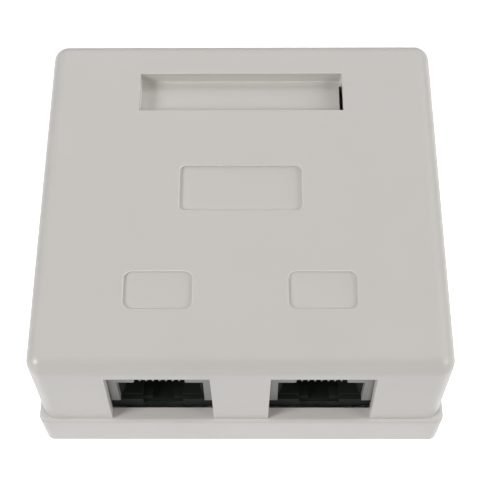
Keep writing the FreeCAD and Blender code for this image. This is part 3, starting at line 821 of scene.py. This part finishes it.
@dataclass
class Studio:
    """Pale floor, a world that is only seen, and the softboxes that light the box."""

    floor_radius: float = 2.5
    floor_sides: int = 96
    floor_gap: float = 0.05 * MM
    floor_white: float = 0.90
    floor_lift: float = 0.70
    floor_fade: Band = (0.15, 0.60)
    floor_gloss: float = 0.60
    gloss_white: float = 1.0
    gloss_ceiling: float = 2.4
    ceiling_back: Band = (-0.50, 0.20)
    ceiling_up: Band = (0.15, 0.5)
    softboxes: tuple[Softbox, ...] = (
        Softbox("left_softbox", -62.0, 36.0, 3.22, size=0.25),
        Softbox("right_softbox", 62.0, 36.0, 1.52, size=0.25),
        Softbox("low_right_softbox", 90.0, 15.0, 2.75, mirrored=False),
        Softbox("front_left_softbox", -40.0, 15.0, 0.42, mirrored=False),
        Softbox("overhead_softbox", 0.0, 75.0, 0.14),
        Softbox("rear_softbox", 180.0, 45.0, 0.38),
        Softbox("low_rear_softbox", 180.0, 12.0, 1.20, mirrored=False),
    )

    def build(self) -> None:
        """Makes the floor, the world and the lamps."""
        bpy.context.scene.view_settings.view_transform = "Standard"
        self.floor()
        self.world()
        for softbox in self.softboxes:
            softbox.build()

    def floor(self) -> None:
        """Round white floor that a camera sees as white, apart from the box's own shadow."""
        form = bmesh.new()
        low = CAD_BOX[0][2] - self.floor_gap
        bmesh.ops.create_circle(form, cap_ends=True, segments=self.floor_sides,
                                radius=self.floor_radius,
                                matrix=Matrix.Translation((0, 0, low)))
        mesh = bpy.data.meshes.new("floor")
        form.to_mesh(mesh)
        form.free()
        floor = linked("floor", mesh)
        coat = Coat("floor_paper")
        coat.feed("Base Color", (self.floor_white, self.floor_white, self.floor_white, 1.0))
        coat.feed("Roughness", 1.0)
        coat.feed("Specular IOR Level", 0.0)
        coat.feed("Emission Color", WHITE)
        away = coat.add("ShaderNodeVectorMath", {0: coat.place}, operation="LENGTH")
        lift = coat.ramp(away.outputs["Value"], self.floor_fade, self.floor_lift, 1.0)
        coat.feed("Emission Strength", self.seen_strength(coat, lift, self.floor_gloss))
        mesh.materials.append(coat.material)

    @staticmethod
    def seen_strength(wiring: Wiring, straight: Any, by_gloss: Any) -> bpy.types.NodeSocket:
        """A strength for what is only seen, and lights nothing.

        Args:
            wiring: the tree to fill.
            straight: the strength, or its socket, for a ray straight from the viewer or through
                a clear part.
            by_gloss: the strength, or its socket, for a ray by way of a gloss.

        Returns:
            The strength.
        """
        path = wiring.add("ShaderNodeLightPath").outputs
        plain = wiring.math("MAXIMUM", path["Is Camera Ray"], path["Is Transmission Ray"])
        return wiring.math("ADD", wiring.math("MULTIPLY", plain, straight),
                           wiring.math("MULTIPLY", path["Is Glossy Ray"], by_gloss))

    def world(self) -> None:
        """White to look at; a gloss also finds a brighter ceiling over the back of the box."""
        world = bpy.data.worlds.new("studio")
        bpy.context.scene.world = world
        world.use_nodes = True
        wiring = Wiring(world.node_tree)
        aim = wiring.add("ShaderNodeTexCoord").outputs["Generated"]
        _, back, up = wiring.add("ShaderNodeSeparateXYZ", {0: aim}).outputs
        share = wiring.math("MULTIPLY", wiring.ramp(back, self.ceiling_back, 0.0, 1.0),
                            wiring.ramp(up, self.ceiling_up, 0.0, 1.0))
        ceiling = wiring.ramp(share, (0.0, 1.0), self.gloss_white,
                              self.gloss_white + self.gloss_ceiling)
        inputs = world.node_tree.nodes["Background"].inputs
        wiring.put(inputs["Color"], WHITE)
        wiring.put(inputs["Strength"], self.seen_strength(wiring, 1.0, ceiling))


# --- the box -------------------------------------------------------------------------------------
@dataclass
class Shells:
    """The hood and the tray."""

    parts: tuple[SoftenedPart, ...] = (
        SoftenedPart("cover", Body.HOOD, COVER_PLASTIC, edge_break=0.12 * MM,
                     mouth_break=0.28 * MM, segments=4, dish_depth=1.0 * MM),
        SoftenedPart("base", Body.TRAY, TRAY_PLASTIC, edge_break=0.10 * MM),
    )

    def build(self, palette: Palette) -> None:
        """Makes both shells in their built finishes."""
        for part in self.parts:
            part.build(palette)


@dataclass
class Jack:
    """One modular jack: shroud, insert and its eight spring wires, with their tails in two rows.

    Depths run back from the shroud's face, and heights from the top of the board.
    """

    side: Side
    edge_break: float = 0.05 * MM
    wire: float = 0.40 * MM
    wire_edge: float = 0.07 * MM
    wire_edge_steps: int = 2
    pitch: float = CONTACT_PITCH
    ways: int = 8
    bend: float = 0.70 * MM
    bend_steps: int = 8
    tail_rows: int = 2
    tail_depth: float = 14.60 * MM
    tail_stagger: float = 2.00 * MM
    tail_foot: float = -2.90 * MM
    duct_height: float = 14.90 * MM
    nose_depth: float = 1.35 * MM
    nose_height: float = 11.00 * MM
    tip_depth: float = 11.00 * MM
    tip_height: float = 7.30 * MM

    def build(self, palette: Palette) -> None:
        """Dresses the jack.

        Args:
            palette: the built finishes.
        """
        word = self.side.word
        SoftenedPart(word + "_jack_housing", Body.TRAY, GREY_PLASTIC,
                     edge_break=self.edge_break).build(palette)
        palette.dress_node(word + "_jack_insert", BLACK_PLASTIC)
        wires = WireRow().grow(word + "_jack_wires", self.wire_paths(), Body.TRAY, GOLD_CONTACT,
                               palette, wire=self.wire, edge=self.wire_edge, bend=self.bend,
                               step=self.tail_rows * self.pitch,
                               edge_steps=self.wire_edge_steps, bend_steps=self.bend_steps,
                               repeats=self.ways // self.tail_rows)
        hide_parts(word + "_jack_contacts")

    def tails(self) -> list[tuple[float, float]]:
        """Where the wires' tails stand on the board, from the first contact to the last.

        Returns:
            Their places along X and Y.
        """
        low, high = node_box(self.side.word + "_jack_housing")
        middle = (low.x + high.x) / 2
        return [(middle + (way - (self.ways - 1) / 2) * self.pitch,
                 low.y + self.tail_depth + way % self.tail_rows * self.tail_stagger)
                for way in range(self.ways)]

    def wire_paths(self) -> bpy.types.Mesh:
        """The first spring wire of each row: solder tail, duct, nose and tip.

        Returns:
            The paths.
        """
        face = node_box(self.side.word + "_jack_housing")[0].y
        board = node_box("circuit_board")[1].z
        nose, tip = face + self.nose_depth, face + self.tip_depth
        paths = []
        for x, tail in self.tails()[:self.tail_rows]:
            outline = ((tail, self.tail_foot), (tail, self.duct_height), (nose, self.duct_height),
                       (nose, self.nose_height), (tip, self.tip_height))
            paths.append([Vector((x, y, board + height)) for y, height in outline])
        return line_host(self.side.word + "_wire_paths", paths)


@dataclass(frozen=True)
class Spot:
    """Sizes of one kind of tinned spot. One that hangs under the board has a height below 0."""

    pad_radius: float
    neck_radius: float
    height: float
    draw: float = 2.5
    facets: int = 14
    rings: int = 7


@dataclass
class Board:
    """The circuit board with its screws, tracks, solder and terminal blocks."""

    ways: int = 4
    way_pitch: float = 3.81 * MM
    screw_break: float = 0.08 * MM
    block_break: float = 0.06 * MM
    blade_break: float = 0.05 * MM
    track_width: float = 0.45 * MM
    track_thickness: float = 0.05 * MM
    track_bend: float = 0.8 * MM
    track_rim: float = 1.1 * MM
    track_tuck: float = 1.0 * MM
    track_lead: float = 0.8 * MM
    track_start_pitch: float = 2 * CONTACT_PITCH
    track_clear: float = 0.6 * MM
    track_turn: float = 2.6 * MM
    outline_width: float = 0.16 * MM
    outline_gap: float = 0.35 * MM
    outline_bend: float = 0.3 * MM
    bend_steps: int = 5
    jack_spot: Spot = Spot(0.46 * MM, 0.27 * MM, -0.85 * MM)
    block_spot: Spot = Spot(1.05 * MM, 0.52 * MM, -0.85 * MM)
    screw_pad: Spot = Spot(3.0 * MM, 3.0 * MM, 0.06 * MM, facets=40, rings=2)

    def build(self, palette: Palette) -> None:
        """Dresses the board and what stands on it.

        Args:
            palette: the built finishes.
        """
        palette.dress_node("circuit_board", GREEN_BOARD)
        SoftenedPart("board_screws", Body.TRAY, SCREW_STEEL,
                     edge_break=self.screw_break).build(palette)
        for side in Side:
            for row in Row:
                block = f"{side.word}_{row.value}_idc"
                SoftenedPart(block + "_block", Body.TRAY, TERMINAL_PLASTIC,
                             edge_break=self.block_break).build(palette)
                SoftenedPart(block + "_blades", Body.TRAY, TIN_BLADE,
                             edge_break=self.blade_break).build(palette)
        self.tracks(palette)
        self.solder(palette)

    def way_offset(self, way: int) -> float:
        """How many pitches a way, counted from 0, stands from the middle of its block."""
        return way - (self.ways - 1) / 2

    def tracks(self, palette: Palette) -> None:
        """Lays the tracks under the lacquer and the printed outlines round the blocks.

        Args:
            palette: the built finishes.
        """
        shape = FlatTracks()
        shape.grow("board_tracks", line_host("track_paths", self.routes()), Body.TRAY,
                   TRACK_GREEN, palette, width=self.track_width, thickness=self.track_thickness,
                   bend=self.track_bend, bend_steps=self.bend_steps)
        shape.grow("board_outlines", line_host("outline_paths", self.outlines(), closed=True),
                   Body.TRAY, OUTLINE_INK, palette, width=self.outline_width,
                   thickness=self.track_thickness, bend=self.outline_bend,
                   bend_steps=self.bend_steps)

    def routes(self) -> list[list[Vector]]:
        """The tracks' corners: one round the board's edge, and four from each jack to its blocks.

        Returns:
            The paths.
        """
        low, high = node_box("circuit_board")
        left, right = low.x + self.track_rim, high.x - self.track_rim
        front, rear = low.y + self.track_rim, high.y - self.track_rim
        paths = [[(left, front), (left, rear), (right, rear), (right, front)]]
        for side in Side:
            jack_low, jack_high = node_box(side.word + "_jack_housing")
            block_low, block_high = node_box(side.word + "_front_idc_block")
            rear_high = node_box(side.word + "_rear_idc_block")[1]
            jack_x, block_x = (jack_low.x + jack_high.x) / 2, (block_low.x + block_high.x) / 2
            for way in range(self.ways):
                start = jack_x + self.way_offset(way) * self.track_start_pitch
                end = block_x + self.way_offset(way) * self.way_pitch
                inner = end + side.value * self.way_pitch / 2
                paths.append([(start, jack_high.y - self.track_tuck),
                              (start, jack_high.y + self.track_lead),
                              (end, block_low.y - self.track_clear),
                              (end, block_high.y + self.track_clear),
                              (inner, block_high.y + self.track_turn),
                              (inner, rear_high.y - self.track_tuck)])
        return [[Vector((x, y, high.z)) for x, y in path] for path in paths]

    def outlines(self) -> list[list[Vector]]:
        """The corners of the printed outlines, one round each terminal block.

        Returns:
            The closed paths.
        """
        face, gap = node_box("circuit_board")[1].z, self.outline_gap
        paths = []
        for side in Side:
            for row in Row:
                low, high = node_box(f"{side.word}_{row.value}_idc_block")
                left, right, front, rear = low.x - gap, high.x + gap, low.y - gap, high.y + gap
                paths.append([Vector((x, y, face)) for x, y in
                              ((left, front), (right, front), (right, rear), (left, rear))])
        return paths

    def solder(self, palette: Palette) -> None:
        """Sets solder on each tail under the board, and a tinned pad under each screw head.

        Args:
            palette: the built finishes.
        """
        spots = TinnedSpots()
        for name, places, spot in (("jack_solder", self.jack_tails(), self.jack_spot),
                                   ("block_solder", self.blade_tails(), self.block_spot),
                                   ("screw_pads", self.screw_places(), self.screw_pad)):
            spots.grow(name, point_host(name + "_places", places), Body.TRAY, SOLDER_TIN, palette,
                       **asdict(spot))

    @staticmethod
    def jack_tails() -> list[Vector]:
        """The points where the spring wires come out under the board."""
        under = node_box("circuit_board")[0].z
        return [Vector((x, y, under)) for side in Side for x, y in Jack(side).tails()]

    def blade_tails(self) -> list[Vector]:
        """The points where the blades come out under the board.

        Returns:
            The points.
        """
        under = node_box("circuit_board")[0].z
        points = []
        for side in Side:
            for row in Row:
                low, high = node_box(f"{side.word}_{row.value}_idc_blades")
                middle = (low + high) / 2
                points += [Vector((middle.x + self.way_offset(way) * self.way_pitch, middle.y,
                                   under)) for way in range(self.ways)]
        return points

    @staticmethod
    def screw_places() -> list[Vector]:
        """The middles of the two screw heads, on the board's face.

        Returns:
            The points.
        """
        low, high = node_box("board_screws")
        face, middle = node_box("circuit_board")[1].z, (low.y + high.y) / 2
        half = high.y - middle
        return [Vector((x, middle, face)) for x in (low.x + half, high.x - half)]


def main() -> None:
    """Builds the studio and dresses the box."""
    logging.basicConfig(level=logging.INFO, format="%(name)s: %(message)s")
    palette = Palette()
    Viewpoint().build()
    Studio().build()
    Shells().build(palette)
    for side in Side:
        Jack(side).build(palette)
    Board().build(palette)


if __name__ == "__main__":
    main()
